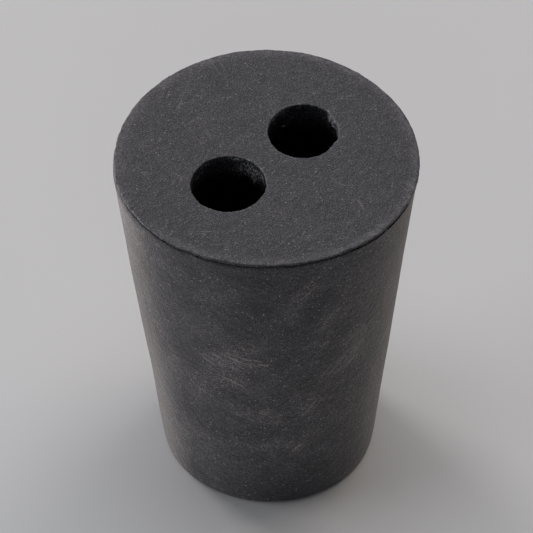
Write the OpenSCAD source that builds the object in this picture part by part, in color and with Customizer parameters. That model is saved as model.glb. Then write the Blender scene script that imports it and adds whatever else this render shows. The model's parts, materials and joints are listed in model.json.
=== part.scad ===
// Two-hole rubber stopper: a tapered plug, moulded in one piece, that closes the
// neck of a flask or bottle and grips two tubes in its parallel through holes.
// The narrow end stands on Z = 0 and the plug's axis is Z. The holes stand side by side along X.

/* [Plug] */
// Diameter over the rim at the wide end
top_d = 19; // [17:0.5:30]
// Diameter of the narrow end
bottom_d = 14; // [13.5:0.5:16.5]
// Height from the narrow end to the wide end
height = 25; // [15:1:40]
// Radius of the edge round the narrow end
bottom_edge_r = 0.3; // [0.1:0.05:0.6]

/* [Rim] */
// Thickness of the moulded rim round the wide end
rim_h = 0.18; // [0.1:0.01:0.6]
// How far the rim stands out past the taper
rim_overhang = 0.05; // [0.02:0.01:0.4]
// Radius of the rim's upper edge
rim_edge_r = 0.08; // [0.02:0.01:0.1]
// Depth of the parting crease under the rim
crease_depth = 0.1; // [0.04:0.01:0.3]
// Height of the parting crease under the rim
crease_h = 0.13; // [0.06:0.01:0.5]

/* [Holes] */
// Diameter of the hole on the -X side
hole_a_d = 4.8; // [3:0.1:5.2]
// Distance of that hole's centre from the middle, along X
hole_a_offset = 3.4; // [2.8:0.05:3.8]
// Diameter of the hole on the +X side
hole_b_d = 4.6; // [3:0.1:5.2]
// Distance of that hole's centre from the middle, along X
hole_b_offset = 3.15; // [2.8:0.05:3.8]
// How far the line through both centres passes from the axis, on the -Y side
hole_line_offset = 0.15; // [0:0.05:0.4]

/* [Hidden] */
$fn = 128;
rubber_colour = [0.27, 0.27, 0.29];
// Each hole is cut this far past both ends, so that it opens cleanly.
cut_past = 1;

rim_r = top_d / 2;
bottom_r = bottom_d / 2;
// The tapered side runs from bottom_r at Z = 0 to taper_top_r at Z = height.
taper_top_r = rim_r - rim_overhang;
taper_angle = atan((taper_top_r - bottom_r) / height);
rim_z = height - rim_h;
crease_z = rim_z - crease_h;

// How far each hole reaches from the axis.
reach_a = norm([hole_a_offset, hole_line_offset]) + hole_a_d / 2;
reach_b = norm([hole_b_offset, hole_line_offset]) + hole_b_d / 2;
// The thinnest wall at the narrow end, between a hole and the side, limits the edge round it.
thinnest_wall = bottom_r - max(reach_a, reach_b);
base_round = min(bottom_edge_r, thinnest_wall / 2);
rim_round = min(rim_edge_r, rim_h / 2);

// Centre of the arc that rounds the narrow end, where it touches the base and the tapered side.
base_arc_x = taper_r(base_round) - base_round / cos(taper_angle);

// Radius of the tapered side at a height z.
function taper_r(z) = bottom_r + z * tan(taper_angle);

// Half of the plug's section, with the Y axis as the plug's axis.
module plug_section() {
    polygon([
        [0, 0],
        [base_arc_x, 0],
        [base_arc_x + base_round * cos(taper_angle), base_round * (1 - sin(taper_angle))],
        [taper_r(crease_z), crease_z],
        [taper_r(rim_z) - crease_depth, rim_z],
        [rim_r, rim_z],
        [rim_r, height - rim_round],
        [rim_r - rim_round, height],
        [0, height]
    ]);
    translate([base_arc_x, base_round]) circle(r = base_round);
    translate([rim_r - rim_round, height - rim_round]) circle(r = rim_round);
}

// A straight hole through the plug's full height, its centre at x along the line of holes.
module through_hole(x, d) {
    translate([x, -hole_line_offset, -cut_past]) cylinder(h = height + 2 * cut_past, d = d);
}

module stopper() {
    color(rubber_colour) difference() {
        rotate_extrude() plug_section();
        through_hole(-hole_a_offset, hole_a_d);
        through_hole(hole_b_offset, hole_b_d);
    }
}

stopper();
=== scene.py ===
# %% [markdown]
# # A two-hole rubber stopper
# This lesson dresses one small moulded part: a black rubber plug, 25 mm high, that
# closes the neck of a flask and grips two tubes. The solid from the CAD model gives
# every size and place. It is read first, and nothing here moves or resizes it.

# %% Load the frame
import json
import math

import bmesh
import bpy
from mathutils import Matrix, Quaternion, Vector, noise


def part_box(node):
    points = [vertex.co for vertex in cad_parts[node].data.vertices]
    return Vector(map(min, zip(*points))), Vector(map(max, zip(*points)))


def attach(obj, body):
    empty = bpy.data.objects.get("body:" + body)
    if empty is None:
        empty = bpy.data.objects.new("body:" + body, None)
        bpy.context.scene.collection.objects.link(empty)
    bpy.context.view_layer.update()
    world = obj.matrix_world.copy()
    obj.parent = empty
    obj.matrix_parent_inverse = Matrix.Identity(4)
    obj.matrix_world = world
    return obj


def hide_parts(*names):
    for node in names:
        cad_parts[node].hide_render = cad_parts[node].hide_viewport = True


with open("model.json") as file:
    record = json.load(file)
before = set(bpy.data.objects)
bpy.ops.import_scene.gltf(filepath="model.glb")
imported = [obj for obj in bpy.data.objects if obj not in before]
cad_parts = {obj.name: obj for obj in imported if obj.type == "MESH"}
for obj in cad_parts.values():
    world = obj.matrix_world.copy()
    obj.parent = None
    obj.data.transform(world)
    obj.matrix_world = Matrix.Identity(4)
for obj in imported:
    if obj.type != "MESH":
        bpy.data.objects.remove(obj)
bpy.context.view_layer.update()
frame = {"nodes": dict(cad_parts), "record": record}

MM = 0.001  # Blender works in metres, and this part is measured in millimetres
FULL_TURN = 2 * math.pi

# %% [markdown]
# ## Reading the sizes
# The CAD mesh has corners only where its section turns, so the widest corner in a
# band of heights is the radius of the plug there. The holes are mounts in the
# record, each with a centre and a radius. Reading both keeps this script true to
# the solid if its sizes ever change.

# %% Measure the CAD solid
END_BAND = 1 * MM  # how far from an end its radius is read
RIM_BAND = 0.25 * MM  # the rim's own part of that, which stands out and is left out
solid = frame["nodes"]["stopper"]
low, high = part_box("stopper")
height = high.z - low.z
rim_r = (high.x - low.x) / 2


def widest(z_from, z_to):
    """Largest distance from the axis of the solid's corners between two heights."""
    band = [v.co for v in solid.data.vertices if z_from <= v.co.z <= z_to]
    return max(math.hypot(co.x, co.y) for co in band)


base_r = widest(0, END_BAND)
neck_r = widest(height - END_BAND, height - RIM_BAND)
mounts = {mount["name"]: mount for mount in frame["record"]["mounts"]}


def hole_from(name):
    """Centre and radius of a round hole, from its mount in the record."""
    x, y, _ = mounts[name]["pos_m"]
    return Vector((x, y, 0)), mounts[name]["dims"]["r_mm"] * MM


hole_a, hole_b = hole_from("tube_hole_a"), hole_from("tube_hole_b")
print(f"height {height / MM:.2f}, rim radius {rim_r / MM:.2f}, base radius {base_r / MM:.2f} mm")
for name, (centre, r) in (("A", hole_a), ("B", hole_b)):
    print(f"hole {name}: centre {centre.x / MM:.2f}, {centre.y / MM:.2f}, radius {r / MM:.2f} mm")

# %% [markdown]
# ## The camera
# A small part is viewed from well back through a long lens, which keeps its
# taper honest: a close camera would make the near rim swell. The camera looks down
# at 46 degrees, so that the flat top and both holes are in view with the side.

# %% Place the camera
CAMERA_AZIMUTH = math.radians(-44.6)
CAMERA_ELEVATION = math.radians(46.2)
CAMERA_ROLL = math.radians(-0.53)
CAMERA_DISTANCE = 240.2 * MM
CAMERA_AIM = Vector((0, 0, 15.05 * MM))  # a point on the plug's axis

camera_data = bpy.data.cameras.new("camera")
camera_data.lens = 253.9
camera_data.sensor_width = 36
camera_data.clip_start = 0.01
camera_data.clip_end = 10
camera = bpy.data.objects.new("camera", camera_data)
bpy.context.scene.collection.objects.link(camera)
bpy.context.scene.camera = camera


def direction(azimuth, elevation):
    """Unit vector from the part towards a viewer; azimuth 0 is in front, on the -Y side."""
    flat = math.cos(elevation)
    return Vector((math.sin(azimuth) * flat, -math.cos(azimuth) * flat, math.sin(elevation)))


towards_camera = direction(CAMERA_AZIMUTH, CAMERA_ELEVATION)
camera.location = CAMERA_AIM + towards_camera * CAMERA_DISTANCE
camera.rotation_mode = "QUATERNION"
roll = Quaternion((0, 0, 1), CAMERA_ROLL)
camera.rotation_quaternion = (-towards_camera).to_track_quat("-Z", "Y") @ roll
print("camera at", [round(c / MM, 1) for c in camera.location], "mm")

# %% [markdown]
# ## The section of the plug
# The real plug was pressed in a mould whose two halves meet just under the wide
# end. The rubber that crept into that joint is the thin rim, and the crease under
# it is the line of the joint. Both are turned shapes, so the outside is drawn as
# half a section and spun. It could also be cut from a cylinder, but a section
# shows each step of the rim by its own numbers.

# %% Draw the section of the outside
RIM_H = 0.18 * MM  # thickness of the rim
RIM_EDGE = 0.08 * MM  # radius of its upper edge
RIM_FOOT = 0.032 * MM  # chamfer of its lower edge
CREASE_H = 0.20 * MM  # height of the crease under it, down to where it fades out
CREASE_DEPTH = 0.10 * MM  # how far the crease cuts in behind the taper
# Places down the crease, as shares of its depth and of its height. The last two lie on
# the taper just below it.
CREASE_STEPS = [(1, 0.15), (1, 0.4), (0.5, 0.7), (0.1, 1), (0, 1.4), (0, 2)]
SIDE_STEPS = 48  # steps down the tapered side
BASE_EDGE = 0.3 * MM  # radius of the edge round the narrow end
ROLL_RINGS = [1.6, 1.1, 0.7, 0.4, 0.2, 0.07]  # rings in the flat top, in mm in from the rim's edge
SUPPORT = 0.25 * MM  # width of the flat ring inside the lower edge


def arc(centre_r, centre_z, radius, start, end, steps):
    """Points of a quarter turn or less, as (distance from the axis, height)."""
    turns = [math.radians(start + (end - start) * i / steps) for i in range(steps + 1)]
    return [(centre_r + radius * math.cos(t), centre_z + radius * math.sin(t)) for t in turns]


def along_taper(z_from, z_to, steps):
    """Points down the tapered side, between two heights and without the ends."""
    heights = [z_from + (z_to - z_from) * i / steps for i in range(1, steps)]
    return [(base_r + (neck_r - base_r) * z / height, z) for z in heights]


rim_z = height - RIM_H
crease_z = rim_z - CREASE_H
outside = [(rim_r - RIM_EDGE - inset * MM, height) for inset in ROLL_RINGS]
outside += arc(rim_r - RIM_EDGE, height - RIM_EDGE, RIM_EDGE, 90, 0, 4)
outside += [(rim_r, height - RIM_H * 0.6), (rim_r, rim_z + RIM_FOOT)]  # the rim's face
outside += [(rim_r - RIM_FOOT, rim_z), (neck_r, rim_z)]  # its underside
outside += [(neck_r - CREASE_DEPTH * cut, rim_z - CREASE_H * down) for cut, down in CREASE_STEPS]
outside += along_taper(crease_z - CREASE_H, BASE_EDGE * 2, SIDE_STEPS)
outside += [(base_r, BASE_EDGE)]
outside += arc(base_r - BASE_EDGE, BASE_EDGE, BASE_EDGE, -18, -90, 4)  # the lower edge, below its middle
outside += [(base_r - BASE_EDGE - SUPPORT, 0)]
print(len(outside), "points in the outside's section")

# %% [markdown]
# ## Spinning the shapes
# A spin turns a chain of edges about an axis and leaves a skin of quads. Each step
# of a spin costs more than the last, because the mesh that it works in has grown,
# and a rim this fine takes hundreds of steps. So one narrow wedge is spun first,
# and a second spin lays copies of the wedge side by side round the axis. The seams
# between them close when their doubles are merged. The same function serves the
# holes, because a hole's wall is a turned shape too, about an axis of its own.

# %% Spin the outside
WEDGES = 12
DOUBLES = MM / 10000  # corners closer than this are one corner
OUTSIDE_STEPS = 600  # a step is a tenth of a millimetre at the rim
mesh = bmesh.new()


def spin_section(section, centre, steps):
    """Spins a section about the upright axis through centre and adds it to the mesh."""
    wedge = bmesh.new()
    corners = [wedge.verts.new((centre.x + r, centre.y, z)) for r, z in section]
    chain = [wedge.edges.new(pair) for pair in zip(corners, corners[1:])]
    turn = FULL_TURN / WEDGES
    bmesh.ops.spin(wedge, geom=corners + chain, cent=centre, axis=(0, 0, 1), angle=turn,
                   steps=steps // WEDGES)
    whole = wedge.verts[:] + wedge.edges[:] + wedge.faces[:]
    bmesh.ops.spin(wedge, geom=whole, cent=centre, axis=(0, 0, 1), angle=FULL_TURN - turn,
                   steps=WEDGES - 1, use_duplicate=True)
    bmesh.ops.remove_doubles(wedge, verts=wedge.verts, dist=DOUBLES)
    skin = bpy.data.meshes.new("skin")
    wedge.to_mesh(skin)
    wedge.free()
    mesh.from_mesh(skin)
    bpy.data.meshes.remove(skin)


spin_section(outside, Vector((0, 0, 0)), OUTSIDE_STEPS)
print(len(mesh.faces), "faces outside")

# %% [markdown]
# ## The holes
# Each tube hole was formed by a pin in the mould, so it is straight and its mouth
# is nearly sharp. A hole's section starts on the flat top, rounds the mouth, goes
# down the wall and leaves at the base. Its rings are a tenth of a millimetre apart
# for the first few millimetres, as deep as the eye follows the wall, and then
# spread out where nothing is seen.

# %% Spin the walls of the holes
MOUTH_EDGE = 0.04 * MM  # radius of the edge at a mouth
MOUTH_RING = 0.16 * MM  # width of the ring of flat top round a mouth
HOLE_STEPS = 264  # steps round a wall
RING_GAP = 0.1 * MM  # height between a wall's rings near its mouth
SEEN_DEPTH = 4 * MM  # how deep the eye follows a wall
GAP_GROWTH = 1.12  # how fast the gap between rings grows below that


def wall_heights():
    """Heights of a wall's rings, close together where they are seen from above."""
    heights, gap = [height - MOUTH_EDGE - RING_GAP / 2], RING_GAP
    while heights[-1] - gap > MOUTH_EDGE + gap / 2:
        heights.append(heights[-1] - gap)
        if height - heights[-1] > SEEN_DEPTH:
            gap *= GAP_GROWTH
    return heights


def hole_section(r):
    """Section of a hole's mouth, wall and lower mouth, as (distance, height)."""
    top = [(r + MOUTH_RING, height), (r + MOUTH_RING / 2, height)]
    top += arc(r + MOUTH_EDGE, height - MOUTH_EDGE, MOUTH_EDGE, 90, 180, 3)
    bottom = arc(r + MOUTH_EDGE, MOUTH_EDGE, MOUTH_EDGE, 180, 270, 3)
    bottom += [(r + MOUTH_RING / 2, 0), (r + MOUTH_RING, 0)]
    return top + [(r, z) for z in wall_heights()] + bottom


for centre, r in (hole_a, hole_b):
    spin_section(hole_section(r), centre, HOLE_STEPS)
print(len(mesh.faces), "faces with the holes")

# %% [markdown]
# ## Closing the two ends
# The flat top and base lie between one outer loop and two hole loops. Triangle
# fill takes all three loops at once and leaves the holes open. A flat face needs
# no finer mesh than that.

# %% Fill the ends and settle the normals


def open_edges(z):
    """Edges at a height that have a face on one side only."""
    return [e for e in mesh.edges if e.is_boundary and all(abs(v.co.z - z) < DOUBLES for v in e.verts)]


for z, up in ((height, 1), (0, -1)):
    bmesh.ops.triangle_fill(mesh, use_beauty=True, edges=open_edges(z), normal=(0, 0, up))
bmesh.ops.remove_doubles(mesh, verts=mesh.verts, dist=DOUBLES)
bmesh.ops.recalc_face_normals(mesh, faces=mesh.faces)
print("edges left open:", sum(e.is_boundary for e in mesh.edges), "volume mm3:",
      round(mesh.calc_volume() / MM ** 3, 1))

# %% [markdown]
# ## How a pressed part differs from its drawing
# Rubber is pressed hot, pulled off its pins and trimmed by hand, so nothing on it
# is quite round. A sculpting brush could do this, but a formula gives the same
# part each time. Every corner is moved by a smooth field of noise that depends
# only on where the corner is, so neighbours move together and no seam opens.
# Bearings are counted round an upright axis: 0 faces the camera, 90 is its right.

# %% Measures for unevenness
AXIS = Vector((0, 0, 0))


def bearing(co, centre):
    """Bearing of a place seen from an upright axis, in degrees from -180 to 180."""
    turn = math.degrees(math.atan2(co.x - centre.x, centre.y - co.y) - CAMERA_AZIMUTH)
    return (turn + 180) % 360 - 180


def wave(b, count, crest):
    """One of several even swells round an axis, with a crest at the given bearing."""
    return math.cos(math.radians(count * (b - crest)))


def hill(offset, half_width):
    """A smooth hill, 1 at no offset and nearly 0 at twice its half width."""
    return math.exp(-(offset / half_width) ** 2)


def round_the_turn(b, other):
    """Difference of two bearings, the short way round."""
    return (b - other + 180) % 360 - 180


def ripple(co, size, seed):
    """Smooth unevenness, mostly from -1 to 1, with bumps about one size apart."""
    return 1.6 * noise.noise(co / size + Vector((7.3, -3.1, 5.7)) * seed)


def ripples(co, layers):
    """Sum of several ripples in mm, each given by its size, its spacing in mm and its seed."""
    return sum(size * ripple(co, spacing * MM, seed) for size, spacing, seed in layers)


def step(value, start, end):
    """Eases from 0 at start to 1 at end."""
    share = min(max((value - start) / (end - start), 0), 1)
    return share * share * (3 - 2 * share)


print("bearings of the holes:", [round(bearing(centre, AXIS)) for centre, r in (hole_a, hole_b)])

# %% [markdown]
# ### The outside
# The wide end is slightly three-lobed, as if it had been pulled from the mould by
# three pins, and the narrow end leans a tenth of a millimetre to one side. A few
# cosines of the bearing give each outline, and the height blends the two. The rim
# is the roughest part: its edge was torn from the flash round the mould, so it
# wanders in and out and up and down by a few hundredths of a millimetre.

# %% Unevenness of the outside
# Each wave has its number of crests, the bearing of one crest and its size in mm.
WIDE_END_WAVES = [(0, 0, 0.033), (1, 101, 0.054), (2, 24, 0.040), (3, 58, 0.101)]
NARROW_END_WAVES = [(0, 0, -0.02), (1, 38, 0.075), (2, 30, 0.062), (3, 53, 0.018)]
# Places round the part have a bearing and a half width in degrees, and a size in mm.
NECK_SWELL = (-88, 45, 0.13)  # a swelling of the upper side
SWELL_HEIGHTS = (0.2, 0.68)  # shares of the height where it starts and is at its full
RIM_LUMPS = [
    (-95, 14, -0.07), (-58, 20, -0.04), (-77, 1.2, 0.05), (-30, 3, -0.03), (-18, 3, -0.03),
    (22, 2.5, -0.02), (44, 4, 0.03),
]
THIN_RIM = (-58, 20, 0.03)  # the rim's upper edge is worn down here, and its lower edge up
THIN_BELOW = 2  # how much more the lower edge is worn than the upper one
BEVEL_WIDTH = 0.12 * MM  # how far the wear above reaches into the flat top
ROLL_DROP, ROLL_WIDTH = 0.02, 1.6 * MM  # the flat top rolls over by these mm, over this width
# Ripples have a size in mm, a spacing in mm and a seed.
SIDE_RIPPLES = [(0.014, 4, 1), (0.006, 1.3, 2)]
RIM_RIPPLES = [(0.018, 0.9, 3), (0.012, 0.3, 4)]  # in and out
RIM_WANDER = [(0.03, 1.1, 5), (0.016, 0.35, 6)]  # up and down


def outline(b, waves):
    """Sum of an end's waves at a bearing, in mm."""
    return sum(size * wave(b, count, crest) for count, crest, size in waves)


def round_part(b, places):
    """Sum at a bearing of what happens at some places round the part."""
    return sum(size * hill(round_the_turn(b, at), half_width) for at, half_width, size in places)


def outside_shift(co):
    """How far a corner of the outside moves away from the axis."""
    b = bearing(co, AXIS)
    up = co.z / height
    shift = up * outline(b, WIDE_END_WAVES) + (1 - up) * outline(b, NARROW_END_WAVES)
    at_rim = step(co.z, crease_z - 2 * CREASE_H, rim_z)
    shift += round_part(b, [NECK_SWELL]) * step(up, *SWELL_HEIGHTS) * (1 - at_rim)
    shift += ripples(co, SIDE_RIPPLES)
    shift += at_rim * (round_part(b, RIM_LUMPS) + ripples(co, RIM_RIPPLES))
    return shift * MM


def outside_drop(co):
    """How far a corner of the outside moves down."""
    r = math.hypot(co.x, co.y)
    thinner = round_part(bearing(co, AXIS), [THIN_RIM])
    if co.z > height - RIM_EDGE:  # on the flat top or its edge
        roll = ROLL_DROP * step(r, rim_r - ROLL_WIDTH, rim_r) ** 2
        return (roll + thinner * step(r, rim_r - BEVEL_WIDTH, rim_r)) * MM
    down_face = min((height - RIM_EDGE - co.z) / (RIM_H - RIM_EDGE), 1)
    drop = ripples(Vector((co.x, co.y, 0)), RIM_WANDER) + thinner * (1 - (1 + THIN_BELOW) * down_face)
    return drop * MM * step(co.z, crease_z - 3 * CREASE_H, crease_z)


swings = [outline(b, WIDE_END_WAVES) for b in range(-180, 180)]
print(f"the wide end's radius varies by {max(swings) - min(swings):.2f} mm")


# %% [markdown]
# ### The holes
# A tube that is pushed through rubs the mouth of its hole, and the wall keeps the
# torn grain that the pin left. Hole B has lost a crumb of rubber on its right, and
# a lip stands in beside that place. All are changes of the wall's radius that
# depend on the bearing and on the depth, so one list of chips describes them.

# %% Unevenness of the holes
# Each chip has its bearing and half width in degrees, its cut outwards in mm (a
# lip inwards is negative), the depth of its middle and its half height in mm.
CHIPS_A = [
    (-73, 2, 0.05, 0, 0.1), (-45, 2, 0.06, 0, 0.1), (-7, 1.5, 0.06, 0, 0.1), (-1, 1, 0.05, 0, 0.1),
    (4, 1.6, 0.06, 0, 0.1), (19, 1.5, 0.04, 0, 0.1), (74, 3, 0.04, 0, 0.15), (86, 5, 0.05, 0, 0.2),
    (-112, 25, -0.04, 0.15, 0.2),
]
CHIPS_B = [
    (127, 8, -0.27, 0.3, 0.22), (112, 9, -0.28, 0.3, 0.22), (93, 9, -0.13, 0.3, 0.2),
    (70, 3, 0.04, 0, 0.3), (61, 5, -0.08, 0.1, 0.5), (50, 7, -0.05, 0.1, 0.5),
    (-43, 2, 0.05, 0, 0.1), (8, 1.5, 0.04, 0, 0.1), (24, 2, 0.04, 0, 0.1),
    (-122, 24, -0.05, 0.15, 0.2),
]
# Waves of each mouth's outline, as above. Both mouths are longer away from the camera.
MOUTH_A = [(0, 0, -0.022), (1, 180, 0.045), (2, 0, 0.033)]
MOUTH_B = [(0, 0, 0.011), (1, 180, 0.04), (1, 90, 0.018), (2, 0, 0.084)]
OUTLINE_REACH = 2 * MM  # depth over which a mouth's outline turns into the round wall
MOUTH_RIPPLES = [(0.02, 0.6, 7), (0.016, 0.22, 8)]  # the edge of a mouth, as above
MOUTH_REACH = 0.25 * MM  # how deep they reach
WALL_GRAIN = [(0.022, 0.5, 9), (0.0176, 0.22, 10)]  # torn grain, below the mouth
WALL_START = 0.2 * MM  # depth at which it is at its full


def chipped(b, depth, chips):
    """Change of a hole's radius in mm at a bearing and depth, from its chips."""
    change = 0
    for at, half_width, cut, down, reach in chips:
        change += cut * hill(round_the_turn(b, at), half_width) * hill(depth - down * MM, reach * MM)
    return change


def hole_shift(co, centre, waves, chips):
    """How far a corner of a hole's wall moves away from the hole's axis."""
    b, depth = bearing(co, centre), height - co.z
    shift = outline(b, waves) * hill(depth, OUTLINE_REACH) + chipped(b, depth, chips)
    shift += hill(depth, MOUTH_REACH) * ripples(co, MOUTH_RIPPLES)
    shift += step(depth, 0, WALL_START) * ripples(co, WALL_GRAIN)
    return shift * MM


print(len(CHIPS_A), "chips in hole A,", len(CHIPS_B), "in hole B")

# %% [markdown]
# ### Torn grain on the walls, and painted highlights
# Where the pin tore the rubber, the broken grains catch the light and look pale in
# a wall that is otherwise painted nearly black. Most of the flecks lie where light
# falls on a wall, and they are painted paler than grain alone would be, so they are
# partly grain and partly a painted highlight. How much of it shows at a place is a sum
# of soft hills on the wall, as for the chips. The finish turns that amount into flecks.

# %% Place the torn grain
# Each place has its bearing and half width in degrees, its depth and half height in
# mm, and how much torn grain, partly a painted highlight, it has.
TORN_AND_HIGHLIGHT_A = [
    (150, 15, 0.7, 0.5, 0.9), (130, 15, 0.6, 0.5, 0.6), (138, 13, 1.4, 0.5, 0.9),
    (166, 12, 1.1, 0.5, 0.7), (115, 12, 0.6, 0.5, 0.6), (170, 13, 0.2, 0.15, 1),
    (-150, 25, 0.25, 0.2, 0.4), (-125, 28, 0.7, 0.7, 0.5), (138, 26, 0, 0.15, 0.6),
]
TORN_AND_HIGHLIGHT_B = [
    (120, 16, 0.25, 0.22, 0.7), (93, 12, 0.3, 0.25, 0.5), (67, 3, 0.1, 0.15, 1),
    (-150, 5, 1.48, 0.15, 1), (-142, 4, 2.2, 0.2, 0.8), (-165, 4, 1, 0.2, 0.6),
    (125, 35, 1.2, 1.2, 0.3), (-130, 25, 0.2, 0.2, 0.7),
]


def torn_and_highlight_at(b, depth, places):
    """How much torn grain, partly a painted highlight, shows at a bearing and depth, from 0 to 1."""
    torn_and_highlight = 0
    for at, half_width, down, reach, amount in places:
        torn_and_highlight += amount * hill(round_the_turn(b, at), half_width) * hill(depth - down * MM, reach * MM)
    return min(torn_and_highlight, 1)


print(len(TORN_AND_HIGHLIGHT_A), "torn places in hole A,", len(TORN_AND_HIGHLIGHT_B), "in hole B")

# %% [markdown]
# ### Dust and painted light on the side
# Chalk dust sits on the tapered side in smudges, where a thumb has rubbed it on or
# wiped it off. Each smudge is one soft oval that is laid on the side: where
# it is, how long and how high it is, how it slants and how much dust it adds or
# takes away. Their sum is stored with each corner, and the rubber's finish turns it
# into specks. Painting by hand would do the same, but a list can be read and mended.
# A thumb also draws dust out in lines, which climb from the front to both sides. A
# few ovals on the upper left are no dust: they paint the bright line that light draws
# down the left limb, a painted highlight. A few that take dust away darken the side
# along the bottom and just under the rim.

# %% Lay the smudges
# Each has its bearing in degrees, its height in mm, half length and half width in
# mm, its slant in degrees (right end up) and its dust (less than 0 is wiped clean and
# darker). A few stand for painted light instead, as noted below.
SMUDGES_AND_PAINTED_LIGHT = [
    (14, 21.8, 2.6, 0.6, 57, 0.55), (27, 18.9, 1.6, 0.7, 45, 0.5), (32, 21.3, 0.7, 0.5, 90, 0.35),
    (-21, 14.8, 1.2, 0.45, 0, 0.9), (-8, 14.9, 1.3, 0.5, 0, 0.9), (-12, 16.0, 1.4, 0.5, 8, 0.6),
    (-17, 13.2, 1.0, 1.0, 0, 0.85), (-28, 17.6, 1.2, 0.9, -20, 0.3),
    (-45, 12.3, 0.9, 1.3, 0, 0.45), (-36, 10.5, 0.8, 0.8, 0, 0.4), (-28, 12.0, 0.9, 1.2, -50, 0.3),
    (-2, 9.5, 1.3, 0.6, -20, 0.6), (-12, 9.9, 1.0, 0.6, -20, 0.4), (21, 10.3, 0.9, 1.4, 0, 0.5),
    (24, 16.1, 1.1, 0.7, 0, 0.4), (38, 13.9, 1.4, 1.0, 30, 0.5), (42, 16.0, 1.1, 0.9, -20, 0.35),
    (22, 7.2, 0.9, 0.6, 0, 0.4), (5, 6.4, 1.6, 0.7, -10, 0.4), (14, 5.9, 0.8, 0.5, -40, 0.35),
    (40, 7.4, 1.2, 0.7, -10, 0.3), (-57, 22.0, 1.2, 1.0, -40, 0.3), (-66, 19.4, 1.0, 0.8, 0, 0.25),
    (-40, 6.1, 1.2, 0.8, 30, 0.35), (-16, 21.8, 1.2, 0.7, 10, 0.25), (53, 6.5, 0.7, 0.9, 0, 0.3),
    (29, 13.2, 1.2, 0.6, 20, 0.4), (11, 11.9, 1.4, 0.4, -50, 0.25),
    (-4, 11.8, 1.4, 0.5, -50, 0.25), (-50, 5.1, 1.0, 0.5, 0, 0.25), (-43, 3.3, 1.8, 0.7, 0, 0.4),
    (-10, 6.2, 1.0, 0.5, 0, 0.25), (-28, 6.3, 0.8, 0.6, 0, 0.2), (57, 18.2, 0.8, 0.4, 0, 0.2),
    # The last oval on the next line and the three on the line after it are pale on the upper left edge:
    # no dust, but a painted highlight, the bright line that light draws down the left limb.
    (51, 15.6, 1.2, 0.6, -30, 0.3), (68, 9.9, 1.2, 1.4, 0, 0.3), (-76, 21.5, 1.8, 3.5, 0, 0.7),
    (-78, 7, 1.0, 2.0, 0, 0.5), (-66, 23.8, 1.8, 0.6, 0, 0.7), (-73, 23.2, 1.8, 1.3, 0, 0.7),
    (-3, 20.6, 1.1, 0.9, 20, -0.9), (0, 23.2, 1.0, 1.4, 0, -0.6), (20, 20.2, 2.4, 0.7, 57, -0.8),
    (-9, 18.3, 1.4, 0.6, 0, -0.5), (-42, 8.6, 2.0, 1.3, 0, -0.5), (-19, 7.4, 1.1, 0.9, 0, -0.5),
    (38, 10.9, 1.3, 0.6, 35, -0.4), (25, 14.7, 0.7, 0.5, 0, -0.35), (34, 17.3, 0.6, 0.7, 0, -0.4),
    (-63, 15.5, 1.2, 2.6, 0, -0.4), (39, 5.6, 1.2, 1.0, 0, -0.45), (-30, 19.7, 1.6, 0.7, 0, -0.3),
    (-15, 11.5, 0.9, 0.5, 0, -0.4), (-36, 13.6, 0.8, 0.8, 0, -0.3), (-32, 15.7, 0.8, 0.4, 0, -0.3),
    (68, 22.2, 1.0, 0.7, 0, -0.4), (58, 19.8, 0.8, 0.8, 0, -0.25), (65, 13.3, 0.8, 0.5, 0, -0.35),
    # The ovals on the next two lines darken the side along the bottom and just under the rim.
    (0, 0.5, 9.0, 2.3, 0, -0.8), (60, 1.5, 5.0, 2.4, 0, -0.6), (-22, 23.7, 2.2, 0.7, 0, -0.5),
    (40, 23.7, 1.8, 0.8, 0, -0.6), (5, 24.0, 5.5, 1.0, 0, -0.55),
]
FAR_OFF = 12  # mm from the middle of a smudge, where nothing is left of it
# How many mm the lines climb on each side, and the bearings between which they do.
CLIMB_RIGHT, CLIMB_LEFT = (6.5, 2, 48), (2.2, 0, 45)
CLIMB_DOWN = (70, 170)  # the bearings between which they come down again at the back


def dust_and_painted_light_at(co):
    """Dust at a place on the side, with a painted highlight on the left limb and darkening along the
    bottom and under the rim, mostly from -1 to 1.
    """
    b, r = bearing(co, AXIS), math.hypot(co.x, co.y)
    dust_and_painted_light = 0
    for at, z, half_length, half_width, slant, amount in SMUDGES_AND_PAINTED_LIGHT:
        along = math.radians(round_the_turn(b, at)) * r / MM
        up = co.z / MM - z
        if abs(along) + abs(up) < FAR_OFF:
            turn = math.radians(slant)
            u = along * math.cos(turn) + up * math.sin(turn)
            v = up * math.cos(turn) - along * math.sin(turn)
            dust_and_painted_light += amount * hill(u, half_length) * hill(v, half_width)
    return dust_and_painted_light


def climb_at(b):
    """How high a line that was drawn out in the dust has climbed at a bearing, in mm."""
    rise, start, end = CLIMB_RIGHT if b > 0 else CLIMB_LEFT
    return rise * (step(abs(b), start, end) - step(abs(b), *CLIMB_DOWN))


print(len(SMUDGES_AND_PAINTED_LIGHT), "smudges of dust and clean places")

# %% [markdown]
# ### Marking the outside
# The finish of a place depends on the surface too, so eight attributes are stored
# with each corner: "side" is the tapered side, "dust" is what lies on it, together
# with a painted highlight on the left limb and darkening along the bottom and under
# the rim, "drawn" is the dust that was drawn out in strokes and "climb" the way of
# them, "seam" is painted shade on the rim's face and in the crease, "bore" is painted
# shade on a hole's wall and "torn" its pale grain, partly a painted highlight, and
# "rubbed" is an edge that is worn pale, with a painted highlight on the rim's edge
# at the left. The painted shade on the rim's face and in the crease is uneven, and
# paler on the left, where light falls on the rim.

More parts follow.
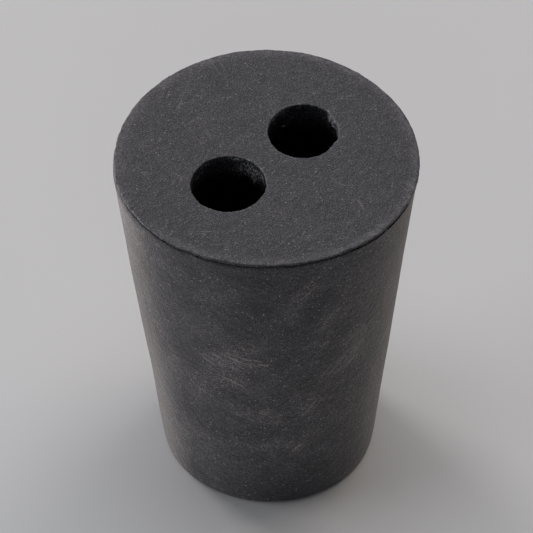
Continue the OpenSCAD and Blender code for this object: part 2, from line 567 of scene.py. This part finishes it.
# %% Shape and mark the outside
INSIDE_R = base_r - 1 * MM  # the holes lie within this radius, the outside beyond it
FACE_SHADE = 0.42  # how much painted shade darkens the rim's face, where 1 is the darkest
FACE_SHADE_PLACES = [(-62, 14, -0.35), (15, 12, -0.12), (45, 13, 0.36)]  # places where its painted shade is deeper, or paler where light falls on it
CREASE_SHADE = 0.94  # how much painted shade darkens the crease
CREASE_SHADE_PLACES = [(-58, 18, -0.05), (18, 14, -0.04), (44, 14, -0.05)]  # places where that painted shade is paler
CREASE_SHADE_LOWER = [(-62, 18, 0.06), (56, 18, 0.13)]  # places where the crease's painted shade reaches further down
CREASE_RAGGED = [(0.03, 0.35, 12)]  # a ripple of the lower edge of the crease's painted shade
DRAWN_FADE = (45, 72)  # bearings on both sides between which the drawn-out dust ends
EDGE_WEAR = 0.3  # how much the rim's edge is rubbed
LEFT_EDGE_HIGHLIGHT = (-57, 20, 2.2)  # a place on the left where the edge is painted paler, over a narrower band: a painted highlight
EDGE_NARROWER = 0.3  # the share by which that edge is narrower
RING_WEAR = 1.25  # how much a ring of the flat top, just inside the edge, is rubbed elsewhere
RING_INSET = 0.25 * MM  # how far in that ring lies, and its half width
PATCH_SIZE = 0.3  # how patchy that wear is
WEAR_PATCHES = [(PATCH_SIZE, 1.5, 11)]  # and the ripple that makes it so
names = ("side", "dust_and_painted_light", "drawn", "climb", "seam_shade", "bore_shade", "torn_and_highlight", "rubbed_and_highlight")
marks = {name: mesh.verts.layers.float.new(name) for name in names}


def move_out(corner, centre, shift):
    """Moves a corner away from an upright axis."""
    out = Vector((corner.co.x - centre.x, corner.co.y - centre.y, 0))
    corner.co += out.normalized() * shift


def wear_outside(corner):
    """Shapes and marks one corner of the outside."""
    co = corner.co.copy()
    move_out(corner, AXIS, outside_shift(co))
    corner.co.z -= outside_drop(co)
    b = bearing(co, AXIS)
    # The crease's painted shade ends at a ragged lower edge, which lies further down in places.
    shade_lower = round_part(b, CREASE_SHADE_LOWER) * MM
    crease_top = crease_z + CREASE_H * 0.2 + ripples(co, CREASE_RAGGED) * MM - shade_lower
    crease_foot = crease_z - CREASE_H * 0.3 - shade_lower
    above_foot = step(co.z, crease_foot, crease_top)
    on_rim = step(co.z, rim_z, rim_z + RIM_FOOT)
    on_face = on_rim * (1 - step(co.z, height - RIM_EDGE / 2, height))
    dust_and_painted_light = (1 - above_foot) * dust_and_painted_light_at(co)
    corner[marks["side"]] = 1 - above_foot
    corner[marks["dust_and_painted_light"]] = dust_and_painted_light
    corner[marks["drawn"]] = dust_and_painted_light * (1 - step(abs(b), *DRAWN_FADE))
    corner[marks["climb"]] = climb_at(b) * MM
    # The rim's face and the crease are painted dark, as painted shade: the crease lies under the rim,
    # and the face turns away from the light. Both are paler on the left, where light falls on them.
    crease_shade = CREASE_SHADE + round_part(b, CREASE_SHADE_PLACES)
    face_shade = FACE_SHADE + round_part(b, FACE_SHADE_PLACES)
    corner[marks["seam_shade"]] = crease_shade * above_foot * (1 - on_rim) + face_shade * on_face
    # On the left the rim's edge is painted paler and narrower, a painted highlight where light falls on
    # its rounded edge. Elsewhere the pale edge and the ring inside it are wear.
    at, half_width, more = LEFT_EDGE_HIGHLIGHT
    here = hill(round_the_turn(b, at), half_width)
    inset = rim_r - math.hypot(co.x, co.y)
    wear_and_highlight = hill(inset, RIM_EDGE * (1 - EDGE_NARROWER * here)) * (EDGE_WEAR + more * here)
    wear_and_highlight += RING_WEAR * (1 - here) * hill(inset - RING_INSET, RING_INSET)
    patchy = 1 - PATCH_SIZE + ripples(co, WEAR_PATCHES)
    corner[marks["rubbed_and_highlight"]] = wear_and_highlight * step(co.z, height - RIM_EDGE, height) * patchy


outer = [corner for corner in mesh.verts if math.hypot(corner.co.x, corner.co.y) > INSIDE_R]
inner = [corner for corner in mesh.verts if math.hypot(corner.co.x, corner.co.y) <= INSIDE_R]
for corner in outer:
    wear_outside(corner)
print(len(outer), "corners outside, the dustiest with", round(max(c[marks["dust_and_painted_light"]] for c in outer), 2))

# %% [markdown]
# ### Marking the holes
# A chip or a lip is fresh rubber and pale, and the edge of a mouth is rubbed in
# spots. The wall is painted darker the deeper it lies, as painted shade, and less dark
# at its mouth and at a chip. A mark that reached the outermost ring round a mouth would
# be drawn out in rays over the long triangles of the flat top, so all of them end on
# the rounded edge.

# %% Shape and mark the holes
FULL_CUT = 0.1  # depth in mm from which a chip is fresh rubber all over
CUT_WEAR = 0.6  # how much a chip is rubbed
CUT_PALER = 0.65  # how much of the wall's painted shade a chip has lost
MOUTH_PALER = 0.5  # how much of that painted shade a wall has lost at its mouth
PALE_DEPTH = 1.6 * MM  # how deep that reaches
DARK_BELOW = 0.1 * MM  # depth at which the wall's painted shade is at its full
MOUTH_SPOTS = [(1, 0.3, 13)]  # a ripple that rubs the mouth's edge in spots


def wear_hole(corner, hole, waves, chips, torn_and_highlight):
    """Shapes and marks one corner of a hole."""
    centre, r = hole
    co = corner.co.copy()
    past_wall = math.hypot(co.x - centre.x, co.y - centre.y) - r
    on_wall = 1 - step(past_wall, MOUTH_EDGE, MOUTH_RING)
    move_out(corner, centre, hole_shift(co, centre, waves, chips))
    b, depth = bearing(co, centre), height - co.z
    cut = min(abs(chipped(b, depth, chips)) / FULL_CUT, 1)
    spots = hill(depth, MOUTH_EDGE) * step(ripples(co, MOUTH_SPOTS), 0, 0.8)
    corner[marks["rubbed_and_highlight"]] = on_wall * max(CUT_WEAR * cut, spots)
    # The wall is painted darker the deeper it lies, as painted shade, and less dark at its mouth and at
    # a chip.
    painted_shade = (1 - CUT_PALER * cut) * (1 - MOUTH_PALER * hill(depth, PALE_DEPTH))
    corner[marks["bore_shade"]] = step(depth, 0, DARK_BELOW) * painted_shade
    corner[marks["torn_and_highlight"]] = on_wall * torn_and_highlight_at(b, depth, torn_and_highlight)


for corner in inner:
    if corner.co.x < 0:
        wear_hole(corner, hole_a, MOUTH_A, CHIPS_A, TORN_AND_HIGHLIGHT_A)
    else:
        wear_hole(corner, hole_b, MOUTH_B, CHIPS_B, TORN_AND_HIGHLIGHT_B)
mesh.normal_update()
print(len(inner), "corners inside")

# %% [markdown]
# ## The piece
# The mesh becomes one object that stands for the CAD solid and rides on its body.
# Its place is in its mesh, so the object itself stays at the origin, unturned, and
# the patterns of the finish keep their place too.

# %% Make the piece
triangles = sum(len(face.verts) - 2 for face in mesh.faces)
print(triangles, "triangles, volume mm3:", round(mesh.calc_volume() / MM ** 3, 1))
data = bpy.data.meshes.new("stopper_skin")
mesh.to_mesh(data)
mesh.free()
data.shade_smooth()
stopper = bpy.data.objects.new("stopper_skin", data)
bpy.context.scene.collection.objects.link(stopper)
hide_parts("stopper")
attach(stopper, "root")
print(stopper.name, "has", len(data.polygons), "faces")

# %% [markdown]
# ## The rubber
# Black rubber for laboratory use is filled with carbon and chalk. Up close it is a
# fine, dry, slightly mottled grey-black, with pale specks of chalk and dark pits,
# and no gloss. All of it is made with noise on Object coordinates, which are true
# millimetres here, so the grain keeps its size on every surface. An image would
# need an unwrapped map, and it would stretch on the taper.

# %% Start the rubber
rubber = bpy.data.materials.new("rubber")
rubber.use_nodes = True
nodes, links = rubber.node_tree.nodes, rubber.node_tree.links
shader = nodes["Principled BSDF"]
places = nodes.new("ShaderNodeTexCoord")


def feed(socket, value):
    """Links a socket to another node's output, or gives it a plain value."""
    if isinstance(value, bpy.types.NodeSocket):
        links.new(value, socket)
    else:
        socket.default_value = value


def pattern(size, seed, stretch=(1, 1, 1), turn=(0, 0, 0), place=places.outputs["Object"]):
    """Object coordinates counted in bumps of one size; stretch draws the bumps out."""
    mapping = nodes.new("ShaderNodeMapping")
    mapping.vector_type = "TEXTURE"
    mapping.inputs["Location"].default_value = [seed * 3.7 * MM, -seed * 2.9 * MM, seed * 5.3 * MM]
    mapping.inputs["Rotation"].default_value = [math.radians(t) for t in turn]
    mapping.inputs["Scale"].default_value = [size * s for s in stretch]
    links.new(place, mapping.inputs["Vector"])
    return mapping.outputs["Vector"]


def grain(vector, detail, roughness):
    """Smooth noise from 0 to 1 on a pattern's coordinates."""
    noise_node = nodes.new("ShaderNodeTexNoise")
    noise_node.inputs["Scale"].default_value = 1
    noise_node.inputs["Detail"].default_value = detail
    noise_node.inputs["Roughness"].default_value = roughness
    links.new(vector, noise_node.inputs["Vector"])
    return noise_node.outputs["Fac"]


print("material", rubber.name, "with", shader.name)

# %% [markdown]
# ### The steps of a recipe
# A noise is only a grey pattern from 0 to 1. A finish comes from what is done with
# it: one kind of node cuts a pattern at a level, one adds or multiplies, one reads a
# mark that is stored with the corners, and one lays a colour over another. Each kind
# gets a short function, so that the recipes below read as sums and not as wiring.

# %% Name the steps


def spread(value, low_in, high_in, low_out, high_out):
    """Carries a value smoothly from one range to another, and no further."""
    box = nodes.new("ShaderNodeMapRange")
    box.interpolation_type = "SMOOTHSTEP"
    for name, number in zip(("Value", "From Min", "From Max", "To Min", "To Max"),
                            (value, low_in, high_in, low_out, high_out)):
        feed(box.inputs[name], number)
    return box.outputs["Result"]


def maths(operation, *values):
    """One step of arithmetic on two or three values."""
    box = nodes.new("ShaderNodeMath")
    box.operation = operation
    for socket, value in zip(box.inputs, values):
        feed(socket, value)
    return box.outputs["Value"]


def mark(name):
    """One of the marks stored with the corners."""
    attribute = nodes.new("ShaderNodeAttribute")
    attribute.attribute_name = name
    return attribute.outputs["Fac"]


def tinted(share, under, over):
    """Mixes two colours; share says how much of the upper one shows."""
    box = nodes.new("ShaderNodeMix")
    box.data_type = "RGBA"
    feed(box.inputs["Factor"], share)
    for name, colour in (("A", under), ("B", over)):
        socket = next(s for s in box.inputs if s.name == name and s.type == "RGBA")
        feed(socket, colour)
    return next(s for s in box.outputs if s.type == "RGBA")


def scaled(colour, factor):
    """A colour times a factor that may vary over the surface."""
    box = nodes.new("ShaderNodeVectorMath")
    box.operation = "SCALE"
    feed(box.inputs[0], colour)
    feed(box.inputs["Scale"], factor)
    return box.outputs["Vector"]


side = mark("side")
dust_and_painted_light = mark("dust_and_painted_light")
print("marks on the corners:", ", ".join(names))

# %% [markdown]
# ### Mottle and grain
# The body of the rubber varies at three scales at once: faint clouds a few
# millimetres wide, a mottle of half a millimetre, and a grain of a tenth. Each is
# one noise, centred on 0. Their sum is an exponent, so the rubber's colour is
# multiplied and never falls below black, and pale grains stand out more than dark
# ones do, as they do on the real thing. Clean rubber is a blue-black, and chalk
# makes it warmer, so pale and dusty places lean from the one tint to the other.

# %% Mix the body of the rubber
COOL, WARM = (0.0260, 0.0293, 0.0394, 1), (0.0304, 0.0304, 0.0334, 1)
WARMING = (-1.2, 1.8)  # how pale and dusty a place is where it starts to warm, and where it is all warm
SIDE_WARMTH = 0.75  # how much warmer the side is by itself
CLOUDS, MOTTLE, GRAIN = 0.8, 1.8, 4.0  # how strongly each noise shows
VEIL = 0.65  # how much dust, and the painted light laid with it, pales or darkens the rubber between its specks
SIDE_CLOUDS = 1.0  # how much more strongly the clouds show on the side
clouds = grain(pattern(1.8 * MM, 1), 3, 0.6)
mottle = grain(pattern(0.45 * MM, 2), 2, 0.6)
fine = grain(pattern(0.085 * MM, 3), 0, 0.5)
cloudy = maths("MULTIPLY_ADD", side, SIDE_CLOUDS, CLOUDS)
tone = maths("MULTIPLY_ADD", maths("SUBTRACT", clouds, 0.5), cloudy, -(MOTTLE + GRAIN) / 2)
tone = maths("MULTIPLY_ADD", mottle, MOTTLE, tone)
tone = maths("MULTIPLY_ADD", fine, GRAIN, tone)
tone = maths("MULTIPLY_ADD", dust_and_painted_light, VEIL, tone)
warmth = maths("MULTIPLY_ADD", side, SIDE_WARMTH, maths("ADD", tone, dust_and_painted_light))
body = scaled(tinted(spread(warmth, *WARMING, 0, 1), COOL, WARM), maths("EXPONENT", tone))
print(len(nodes), "nodes for the body of the rubber")

# %% [markdown]
# ### Specks of chalk
# Single grains of chalk lie in the rubber. A Voronoi texture fits them: it has one
# point in each cell, every cell has random numbers of its own, and a speck is drawn
# round the point where the first number is high. The second one sets how white it
# is. Dust lowers the limit, so a smudge isn't a grey veil but a denser crowd of
# specks. Handled chalk on the side is a little warmer than the clean chalk of the
# ends, and whiter.

# %% Scatter the specks
CLEAN_CHALK, HANDLED_CHALK = (0.270, 0.262, 0.256, 1), (0.296, 0.262, 0.238, 1)
SPECK_CELL = 0.2 * MM  # each cell of this size has one speck at most
SPECK_EDGE = (0.16, 0.34)  # where a speck starts to fade and where it ends, in cells
SPECK_LIMIT = (0.77, 0.85)  # cells below the first number have no speck, and above the second a full one
SPECK_DUST = 0.3  # how much dust lowers both
SPECK_FAINT = 0.2  # how white the faintest speck is
SPECK_END = 0.6  # how white the specks of the ends are, next to those of the side
chalk = tinted(side, CLEAN_CHALK, HANDLED_CHALK)
cells = nodes.new("ShaderNodeTexVoronoi")
cells.inputs["Scale"].default_value = 1
links.new(pattern(SPECK_CELL, 4), cells.inputs["Vector"])
lots = nodes.new("ShaderNodeSeparateColor")
links.new(cells.outputs["Color"], lots.inputs["Color"])
dust_and_highlight = maths("MAXIMUM", dust_and_painted_light, 0)
chosen = spread(maths("MULTIPLY_ADD", dust_and_highlight, SPECK_DUST, lots.outputs["Red"]), *SPECK_LIMIT, 0, 1)
speck = maths("MULTIPLY", spread(cells.outputs["Distance"], *SPECK_EDGE, 1, 0), chosen)
speck = maths("MULTIPLY", speck, spread(lots.outputs["Green"], 0, 1, SPECK_FAINT, 1))
speck = maths("MULTIPLY", speck, maths("MULTIPLY_ADD", side, 1 - SPECK_END, SPECK_END))
print("about one speck in", round(1 / (1 - sum(SPECK_LIMIT) / 2)), "cells where there is no dust")

# %% [markdown]
# ### Powder and strokes
# Finer powder lies between the specks, and rubbing has drawn some of it out into
# strokes. A stroke is noise that is long in the two level directions and short in
# the upright one. It would run level round the side, so the "climb" mark is taken
# off the height first, and the strokes then climb as a thumb does. Powder breaks
# them up, because a smooth stroke would look like paint.

# %% Lay the powder and draw the strokes
STROKE, LONG = 0.17 * MM, (8, 8, 1)  # spacing of the strokes, and how much longer they are
STROKE_POWDER = 0.4  # how much the powder breaks them up
STROKE_LIMIT, STROKE_WHITE = (0.76, 0.88), 0.58  # where they start and are at their full, and how white
DRAWN_FULL = 0.6  # amount of drawn-out dust from which all the strokes show
POWDER_SIZE = 0.1 * MM
POWDER_DUST = 0.1  # how much dust adds to the powder
POWDER_LIMIT, POWDER_WHITE = (0.63, 0.76), 0.46  # where it starts and is at its full, and how white
climb = nodes.new("ShaderNodeCombineXYZ")
links.new(mark("climb"), climb.inputs["Z"])
rub_place = nodes.new("ShaderNodeVectorMath")
rub_place.operation = "SUBTRACT"
links.new(places.outputs["Object"], rub_place.inputs[0])
links.new(climb.outputs["Vector"], rub_place.inputs[1])
strokes = grain(pattern(STROKE, 5, stretch=LONG, place=rub_place.outputs["Vector"]), 1, 0.5)
powder = grain(pattern(POWDER_SIZE, 6), 1, 0.5)
strokes = spread(maths("MULTIPLY_ADD", powder, STROKE_POWDER, strokes), *STROKE_LIMIT, 0, STROKE_WHITE)
strokes = maths("MULTIPLY", strokes, spread(mark("drawn"), 0, DRAWN_FULL, 0, 1))
powder = spread(maths("MULTIPLY_ADD", dust_and_painted_light, POWDER_DUST, powder), *POWDER_LIMIT, 0, POWDER_WHITE)
chalky = maths("MAXIMUM", speck, maths("MAXIMUM", strokes, powder))
print(len(nodes), "nodes with the chalk")

# %% [markdown]
# ### Pits
# Small dark pits are left where grains fell out. They are a plain noise that is cut
# off high, so only its tops show, and they darken the body before the chalk is laid
# over it.

# %% Press in the pits and lay the chalk over them
PIT_SIZE = 0.2 * MM
PIT_LIMIT, PIT_DARK = (0.68, 0.8), 0.5  # where a pit starts and is at its full, and how dark that is
pits = spread(grain(pattern(PIT_SIZE, 7), 1, 0.5), *PIT_LIMIT, 0, PIT_DARK)
surface = tinted(chalky, scaled(body, maths("SUBTRACT", 1, pits)), chalk)
print(len(nodes), "nodes with the pits")

# %% [markdown]
# ### Scratches
# The wide end has been slid over benches. A line where a smooth noise crosses its
# middle value is thin and never ends abruptly, and noise that is drawn out in one
# direction gives long ones. A second noise lets only a few of them show, and none
# on the side, where the lines would meet the surface at a slant and curl.

# %% Draw the scratches
SCRATCH = 0.25  # how much of a speck's paleness a scratch has
SCRATCH_GAP = 0.5 * MM  # spacing of the lines
SCRATCH_EDGE = (0.004, 0.016)  # how far from the noise's middle a line starts to fade, and ends
SCRATCH_PATCH = 2 * MM  # spacing of the patches where lines show
SCRATCH_LIMIT = (0.56, 0.66)  # where a patch starts, and where it is at its full
SCRATCH_WAYS = ((8, 25), (9, 70), (10, -35))  # seed and direction in degrees of each set of lines
for seed, angle in SCRATCH_WAYS:
    lines = grain(pattern(SCRATCH_GAP, seed, stretch=(9, 1, 9), turn=(0, 0, angle)), 0, 0.5)
    line = spread(maths("ABSOLUTE", maths("SUBTRACT", lines, 0.5)), *SCRATCH_EDGE, SCRATCH, 0)
    shown = spread(grain(pattern(SCRATCH_PATCH, seed + 10), 1, 0.5), *SCRATCH_LIMIT, 0, 1)
    flat = maths("MULTIPLY", shown, maths("SUBTRACT", 1, side))
    surface = tinted(maths("MULTIPLY", line, flat), surface, chalk)
print(len(SCRATCH_WAYS), "sets of scratches")

# %% [markdown]
# ### Painted shade in the seam and the holes, and rubbed edges
# No dust lies in the crease under the rim or on the walls of the holes. They and the
# rim's face are painted dark, as painted shade, nearly black deep in a hole. Torn
# grain on a wall shows as pale flecks, painted paler where light falls on the wall,
# so they are partly a painted highlight. Edges that rub on hands and tubes turn pale,
# and the rim's edge on the left is painted paler still, as a painted highlight. The
# marks that were stored with the corners say how much of each applies.

# %% Darken the seam and the holes, and whiten the edges
DARKEST_SHADE = 0.93  # how much darker the full painted shade makes the rubber
painted_shade = maths("MULTIPLY", maths("MAXIMUM", mark("seam_shade"), mark("bore_shade")), DARKEST_SHADE)
surface = scaled(surface, maths("SUBTRACT", 1, painted_shade))

# Pale flecks of torn grain on the walls, painted paler where light falls on them: partly a painted
# highlight.
TORN_AND_HIGHLIGHT = (0.32, 0.32, 0.33, 1)
FLECK_SIZE = 0.16 * MM
FLECK_MORE = 0.12  # how much torn grain adds to the flecks
FLECK_LIMIT = (0.57, 0.73)  # where a fleck starts, and where it is at its full
BETWEEN_FLECKS = 0.03  # how much of their colour shows between them
torn_and_highlight = mark("torn_and_highlight")
flecks = maths("MULTIPLY_ADD", torn_and_highlight, FLECK_MORE, grain(pattern(FLECK_SIZE, 12), 3, 0.8))
flecks = spread(flecks, *FLECK_LIMIT, BETWEEN_FLECKS, 1)
surface = tinted(maths("MULTIPLY", flecks, torn_and_highlight), surface, TORN_AND_HIGHLIGHT)

# Rubbed edges are painted pale: wear, and on the rim's edge at the left a painted highlight.
WORN_AND_HIGHLIGHT = (0.138, 0.134, 0.142, 1)
WORN_SIZE = 0.3 * MM
WORN_LIMIT = (0.35, 0.65)  # where a worn patch starts, and where it is at its full
WORN_SHARE = (0.1, 0.6)  # how much shows outside such a patch and in it
patches = spread(grain(pattern(WORN_SIZE, 11), 3, 0.7), *WORN_LIMIT, *WORN_SHARE)
surface = tinted(maths("MULTIPLY", mark("rubbed_and_highlight"), patches), surface, WORN_AND_HIGHLIGHT)
links.new(surface, shader.inputs["Base Color"])
print(len(nodes), "nodes for the colour")

# %% [markdown]
# ### Gloss and relief
# The gloss is set by three plain numbers: a low specular level, a roughness that
# the mottle varies, and a warm sheen, which is how chalk dust brightens a dark
# surface that is seen at a shallow angle. Bump gives the grain its relief. It is
# only a few thousandths of a millimetre, too little to be worth real corners.

# %% Set the gloss and the relief
shader.inputs["Specular IOR Level"].default_value = 0.25
shader.inputs["Sheen Weight"].default_value = 0.25
shader.inputs["Sheen Roughness"].default_value = 0.5
shader.inputs["Sheen Tint"].default_value = (1, 0.92, 0.88, 1)
SMOOTHEST, ROUGHEST = 0.62, 0.75  # roughness between which the mottle varies
CHALK_ROUGH = 0.15  # how much rougher chalk is
rough = spread(mottle, 0.3, 0.7, SMOOTHEST, ROUGHEST)
rough = maths("ADD", rough, maths("MULTIPLY", chalky, CHALK_ROUGH))
links.new(rough, shader.inputs["Roughness"])
FINE_RELIEF, CHALK_RELIEF = 0.5, 0.2  # how high the grain and the chalk stand, next to the mottle
relief = maths("MULTIPLY_ADD", fine, FINE_RELIEF, maths("MULTIPLY", chalky, CHALK_RELIEF))
relief = maths("ADD", mottle, relief)
bump = nodes.new("ShaderNodeBump")
bump.inputs["Strength"].default_value = 1
bump.inputs["Distance"].default_value = 0.07 * MM
links.new(relief, bump.inputs["Height"])
links.new(bump.outputs["Normal"], shader.inputs["Normal"])
data.materials.append(rubber)
print(len(nodes), "nodes in the rubber")

# %% [markdown]
# ### A shaded copy of the rubber in the holes and the crease
# The walls of the holes and the crease have no bloom of dust, and they lie in shade,
# where a sheen would fill them with grey. Sheen and specular level are single numbers,
# so they can't vary over one material. A darker copy of the rubber without them covers
# those faces: a shaded copy, which adds to the painted shade there.

# %% Give the crease and the walls a shaded copy of the rubber
BORE_SHADE_LIMIT, SEAM_SHADE_LIMIT = 0.1, 0.8  # a corner with more painted shade than this is in a hole, or in the crease
shaded_copy = rubber.copy()
shaded_copy.name = "rubber_shaded_copy"
shaded_copy_shader = shaded_copy.node_tree.nodes["Principled BSDF"]
shaded_copy_shader.inputs["Sheen Weight"].default_value = 0
shaded_copy_shader.inputs["Specular IOR Level"].default_value = 0.0
data.materials.append(shaded_copy)
bore_shade_marks, seam_shade_marks = data.attributes["bore_shade"].data, data.attributes["seam_shade"].data
for face in data.polygons:
    if all(bore_shade_marks[c].value > BORE_SHADE_LIMIT or seam_shade_marks[c].value > SEAM_SHADE_LIMIT for c in face.vertices):
        face.material_index = 1
print(sum(face.material_index for face in data.polygons), "faces of bare rubber")

# %% [markdown]
# ## The floor and the light
# A stopper is shown best on plain paper, which keeps the eye on the shape and still
# takes its shadow. One large square is enough, because the camera never sees its
# edge. Dull grey paper reflects a little more than half of the light, and a high
# roughness keeps it from shining.

# %% Lay the floor
FLOOR_HALF = 1.5  # half of its side, in metres
PAPER = (0.55, 0.55, 0.55, 1)
floor_mesh = bmesh.new()
bmesh.ops.create_grid(floor_mesh, x_segments=1, y_segments=1, size=FLOOR_HALF)
floor_data = bpy.data.meshes.new("floor")
floor_mesh.to_mesh(floor_data)
floor_mesh.free()
floor = bpy.data.objects.new("floor", floor_data)
bpy.context.scene.collection.objects.link(floor)
paper = bpy.data.materials.new("paper")
paper.use_nodes = True
paper_shader = paper.node_tree.nodes["Principled BSDF"]
paper_shader.inputs["Base Color"].default_value = PAPER
paper_shader.inputs["Roughness"].default_value = 0.9
floor_data.materials.append(paper)
print("floor of", 2 * FLOOR_HALF, "m square")

# %% [markdown]
# ### Soft boxes
# Black rubber shows only what falls on it, so each surface needs a light of its own:
# one over the top and a little behind, two on the left, of which the rear one draws
# the bright line down the left limb, a weak one for the front and one behind the
# right. All of them are wide and close, because small lamps would throw hard
# shadows. The two behind the part are warm, and those over it and beside it on the
# left are cool. The rest of the room is dark.

# %% Hang the lamps
LAMP_DISTANCE = 0.6  # in metres
LAMP_SIZE = 0.4  # side of a soft box, in metres


def softbox(name, azimuth, elevation, power, colour=(1, 1, 1), size=LAMP_SIZE):
    """A square area lamp that faces the part; azimuth is counted from the camera's."""
    lamp = bpy.data.lights.new(name, "AREA")
    lamp.shape = "SQUARE"
    lamp.size = size
    lamp.energy = power
    lamp.color = colour
    box = bpy.data.objects.new(name, lamp)
    way = direction(CAMERA_AZIMUTH + math.radians(azimuth), math.radians(elevation))
    box.location = way * LAMP_DISTANCE
    box.rotation_mode = "QUATERNION"
    box.rotation_quaternion = (-way).to_track_quat("-Z", "Y")
    bpy.context.scene.collection.objects.link(box)
    print(name, power, "W")


softbox("top_box", 180, 80, 1.74, (0.96, 0.99, 1.05))
softbox("left_back_box", -136, 7, 4.40, (1.04, 0.99, 0.97), size=0.2)
softbox("left_box", -90, 11, 2.06, (0.965, 0.985, 1.06))
softbox("front_box", 0, 12, 0.86)
softbox("right_back_box", 130, 40, 0.91, (1.15, 1.00, 0.88))

room = bpy.data.worlds.new("room")
room.use_nodes = True
room.node_tree.nodes["Background"].inputs["Strength"].default_value = 0
bpy.context.scene.world = room
bpy.context.scene.view_settings.view_transform = "Standard"
